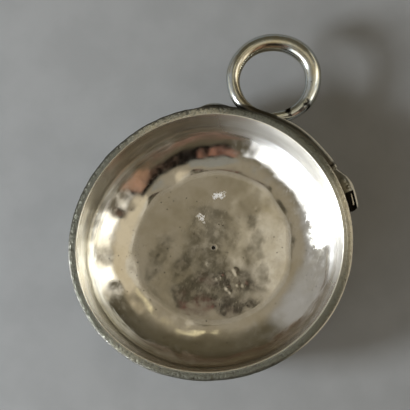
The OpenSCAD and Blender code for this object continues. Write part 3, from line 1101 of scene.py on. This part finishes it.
print("recipe steps ready")

# %% [markdown]
# ### Raised silver
# The bowl is the best kept metal. Its floor is duller than its wall, because wine stands on it, and the
# compass mark is black with dirt. The top of the lip shares the pitted look of the rim wire beside it.

# %% Raised silver
shader = start_finish("raised_silver")
radius, height = stored("true_radius"), axis_mm("Z")
clean, yellowed = (0.91, 0.885, 0.83), (0.80, 0.755, 0.65)
dull, dirt = (0.62, 0.585, 0.49), (0.05, 0.043, 0.033)
cloud = ramp(grain(0.08, detail=4.0, roughness=0.6), 0.38, 0.68)
fine_cloud = ramp(grain(0.4, detail=4.0, roughness=0.65), 0.4, 0.7)
on_floor = ramp(radius, crease_r + 0.7, crease_r - 0.7)
dull_floor = times(on_floor, maths("ADD", times(cloud, 0.35), 0.15))
# Painted dark reflections: soft dark blots on the floor where its mirror shows dark things
floor_dark_reflections = stains((5.2, -12.1, 2.0, 0.6, 1.9, 20), (-2.3, -16.9, 1.8, 0.6, 2.0, 20),
                (12.1, -7.9, 1.2, 0.7, 1.5, 20), (-6.2, 14.7, 2.0, 0.7, 2.3, -11))
floor_dark_reflections = times(floor_dark_reflections, ramp(grain(0.3), 0.3, 0.6, 0.3, 0.65))
scuff = stains((14.6, 4.2, 1.5, 0.35, 1.7, -40), (6.6, 6.6, 0.7, 0.5, 2.2, 66))
scuff = times(scuff, ramp(grain(1.5, detail=3.0), 0.36, 0.5))
lines = largest(scratches(20, 6, 0.67, 0.76), scratches(-38, 5, 0.67, 0.76),
                scratches(80, 7, 0.68, 0.77))
clusters = ramp(grain(0.13), 0.5, 0.62)
pits = largest(pit_dots(0.55, 0.14, 0.3), times(pit_dots(1.5, 0.2, 0.4), clusters))
mark = ramp(radius, 0.72, 0.55)
upper_wall = ramp(height, 3.2, 6.5)
streak_place = add_node("Mapping", Vector=place, Scale=(0.12, 0.12, 1.0)).outputs[0]
streaks = times(upper_wall, ramp(grain(0.9, detail=3.0, at=streak_place), 0.45, 0.62))
# Painted highlight: the upper wall is brighter than clean silver on the window's side
painted_highlight_side = times(upper_wall, on_side(highlight_turn, 4, 34))
# Painted dark reflections: darker olive low on the wall towards one side and higher up towards another
low_dark_reflection = times(ramp(height, 3, 5.5), on_side(low_dark_turn, 10, 30))
high_dark_reflection = times(ramp(height, 5.5, 9), on_side(high_dark_turn, 20, 35))
lip_edge = ramp(height, bowl_h - 0.45, bowl_h - 0.3)
lip_top = times(ramp(height, bowl_h - 0.15, bowl_h - 0.08), ramp(radius, lip_in + 0.25, lip_in + 0.42))
lip_colour, lip_grit = aged_rim(rim_olive, (0.19, 0.188, 0.15))
lip_colour = mix_colour(lip_grit, lip_colour, (0.10, 0.094, 0.073))
colour = coat(mix_colour(cloud, clean, yellowed), (dull_floor, dull), (floor_dark_reflections, (0.30, 0.285, 0.235)),
              (scuff, (0.93, 0.92, 0.90)), (largest(times(pits, 0.85), mark), dirt),
              (times(streaks, 0.6), (0.42, 0.39, 0.30)), (painted_highlight_side, (0.97, 0.965, 0.95)),
              (times(low_dark_reflection, 0.88), (0.34, 0.306, 0.215)), (times(high_dark_reflection, 0.8), (0.36, 0.33, 0.245)),
              (lip_edge, (0.95, 0.92, 0.82)), (lip_top, lip_colour))
worn_crease = ramp(maths("ABSOLUTE", maths("SUBTRACT", radius, crease_r)), 1.2, 0.6)
haze = ramp(grain(0.5, detail=3.0), 0.4, 0.7, 0.09, 0.17)
# How rough each kind of wear leaves the metal; the roughest one shows
wear = [(scuff, 0.62), (lines, 0.26), (lip_edge, 0.3), (lip_top, 0.45), (mark, 0.9), (upper_wall, 0.24),
        (painted_highlight_side, 0.4), (worn_crease, 0.27)]
rough = largest(maths("ADD", haze, times(fine_cloud, 0.04)), *[times(share, level) for share, level in wear])
relief = times(grain(0.9), 0.4)
relief = maths("SUBTRACT", relief, times(largest(pits, lines), 0.25))
relief = maths("SUBTRACT", relief, times(times(lip_top, lip_grit), 25.0))
relief = maths("ADD", relief, times(streaks, 8.0))
dress(shader, colour, rough, relief, 0.003)
print("raised silver:", len(tree.nodes), "nodes")

# %% [markdown]
# ### Pitted rim silver
# The rim is never polished right into its pits. It is tarnished grey-green and dark grit fills the pits.
# The outer curve is rubbed bright on one side, ragged on another, and painted with a thin pale highlight line
# on a third.

# %% Pitted rim silver
shader = start_finish("pitted_rim_silver")
radius = stored("true_radius")
patches = ramp(grain(0.12, detail=3.0), 0.4, 0.62)
colour, grit = aged_rim(mix_colour(patches, rim_olive, (0.33, 0.31, 0.24)), (0.17, 0.17, 0.135))
ragged = times(ramp(radius, rim_r - 1.5, rim_r - 0.7), ramp(grain(1.2, detail=3.0), 0.44, 0.56))
ragged = largest(ragged, ramp(radius, rim_r - 0.55, rim_r - 0.3))
grit = largest(grit, times(ragged, on_side(ragged_turn, 2, 24)))
rubbed = ramp(radius, rim_r - 0.45, rim_r - 0.12)
rubbed = times(rubbed, ramp(grain(0.5, detail=3.0), 0.36, 0.6, 1.0, 0.3))
rubbed = times(rubbed, on_side(rubbed_turn, 28, 39))
# Painted highlight: a thin pale line on the outer curve towards one side
painted_pale_line = times(ramp(radius, rim_r - 0.45, rim_r - 0.2), on_side(pale_line_turn, 24, 36))
specks = pit_dots(1.6, 0.26, 0.35)
colour = coat(colour, (times(grit, 0.88), (0.085, 0.08, 0.062)), (rubbed, (0.82, 0.80, 0.73)),
              (painted_pale_line, (0.95, 0.88, 0.73)), (specks, (0.06, 0.056, 0.048)))
rough = maths("ADD", times(grit, 0.18), ramp(rubbed, 0, 1, 0.42, 0.17))
dress(shader, colour, rough, maths("SUBTRACT", 1.0, largest(grit, specks)), 0.06)
# The painted pale line is made less metallic, so that it shows pale as a painted highlight whatever it
# mirrors
plug_all(shader, Metallic=ramp(painted_pale_line, 0, 1, 1.0, 0.4))
print("pitted rim silver:", len(tree.nodes), "nodes")

# %% [markdown]
# ### Forged silver
# The serpent is bright where fingers rub it and olive where they don't, and its ring is yellowed inside on
# the tail's side. A pale highlight is painted along the outer edge of neck and jaw. Near the bowl, where a
# cloth can't reach, old polish has set hard and dark, and that darkness also paints the shade under the rim.

# %% Forged silver
# Middle of the ring along X, and the distances from it at which the yellowed inside begins and is full
ring_middle_x, yellow_from, yellow_full = 51.6, 12.0, 10.8
# Distances from the bowl's axis at which the old polish with its painted shade, and the olive, begin and are
# full
polish_shade_from, polish_shade_full, olive_from, olive_full = 42.1, 41.4, 43.4, 43.0

shader = start_finish("forged_silver")
radius, side = stored("true_radius"), axis_mm("Y")
outer_edge = stored("outer_edge")
cloud = ramp(grain(0.16, detail=4.0), 0.4, 0.64)
fine = ramp(grain(1.1, detail=4.0, roughness=0.65), 0.42, 0.66)
from_middle = add_node("Mapping", Vector=place, Location=(-ring_middle_x*MM, 0, 0), Scale=(1, 1, 0))
yellow_inside = ramp(length_of(from_middle.outputs[0]), yellow_from*MM, yellow_full*MM)
yellow_inside = times(yellow_inside, ramp(side, -1, 6))
on_head = ramp(side, -24, -27)
# Dark old polish near the wall, whose darkness also paints the shade under the rim
polish_and_shade = times(ramp(radius, polish_shade_from, polish_shade_full), ramp(on_head, 0, 1, 1.0, 0.3))
polish_and_shade = times(polish_and_shade, maths("SUBTRACT", 1.0, outer_edge))
# Painted highlight: a pale edge along the outside of neck, head and outer jaw, and the whole tongue
wear_and_painted_light = largest(stored("jaw_painted_light"), outer_edge)
olive = times(ramp(side, -21, -23), ramp(radius, olive_from, olive_full))
olive = times(olive, maths("SUBTRACT", 1.0, wear_and_painted_light))
pits = pit_dots(0.8, 0.2, 0.12)
root_dirt = stains((44.2, -7.6, 0.9, 0.5, 1.4, 30), (47.8, -11.6, 0.9, 0.5, 2.4, -32))
colour = mix_colour(cloud, (0.72, 0.78, 0.80), (0.72, 0.70, 0.60))
colour = coat(colour, (times(fine, 0.2), (0.50, 0.47, 0.37)), (times(yellow_inside, 0.7), (0.50, 0.41, 0.25)),
              (times(olive, 0.88), (0.21, 0.19, 0.132)), (wear_and_painted_light, (0.95, 0.90, 0.78)),
              (times(polish_and_shade, 0.92), (0.06, 0.05, 0.036)),
              # Near black: dirt in the pits and at the ring's roots, and painted shade in the mouth
              (largest(pits, root_dirt, stored("mouth_painted_shade")), (0.012, 0.010, 0.008)))
rough = ramp(grain(0.5, detail=1.0), 0.4, 0.68, 0.19, 0.24)
rough = largest(maths("ADD", rough, times(polish_and_shade, 0.1)), times(olive, 0.5), times(wear_and_painted_light, 0.45))
relief = maths("SUBTRACT", grain(1.2, detail=3.0), times(pits, 0.4))
dress(shader, colour, rough, relief, 0.004)
# The painted pale edge is made less metallic, like the painted pale line of the rim, so that it shows pale
# whatever it mirrors
plug_all(shader, Specular_Tint=(0.5, 0.46, 0.36), Metallic=ramp(outer_edge, 0, 1, 1.0, 0.5))
print("forged silver:", len(tree.nodes), "nodes")

# %% [markdown]
# ### Hard solder
# Solder holds more copper than the silver round it, so it tarnishes first and stays dull, rough and
# brownish grey.

# %% Hard solder
shader = start_finish("hard_solder")
lumps = ramp(grain(0.9, detail=5.0, roughness=0.65), 0.38, 0.64)
colour = mix_colour(lumps, (0.42, 0.38, 0.30), (0.10, 0.085, 0.06))
dress(shader, colour, ramp(lumps, 0, 1, 0.42, 0.7), lumps, -0.1)
print("hard solder:", len(tree.nodes), "nodes")

# %% [markdown]
# ## Hand over
# Each finished piece rides on the one rigid body, stands for its solid and names its finish.

# %% Ride, replace, name the finish
hand_over = [(bowl, "bowl", "raised_silver"), (rim, "rim_wire", "pitted_rim_silver"),
             (rim_solder, "rim_solder", "hard_solder"), (serpent, "serpent_ring", "forged_silver"),
             (head, "serpent_head", "forged_silver"), (tongue, "serpent_tongue", "forged_silver"),
             (neck_solder, "neck_solder", "hard_solder"), (tail_solder, "tail_solder", "hard_solder"),
             (crossing, "crossing_solder", "hard_solder")]
for piece, solid, slot in hand_over:
    piece.data.materials.clear()
    piece.data.materials.append(finishes[slot])
    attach(piece, "root")
    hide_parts(solid)
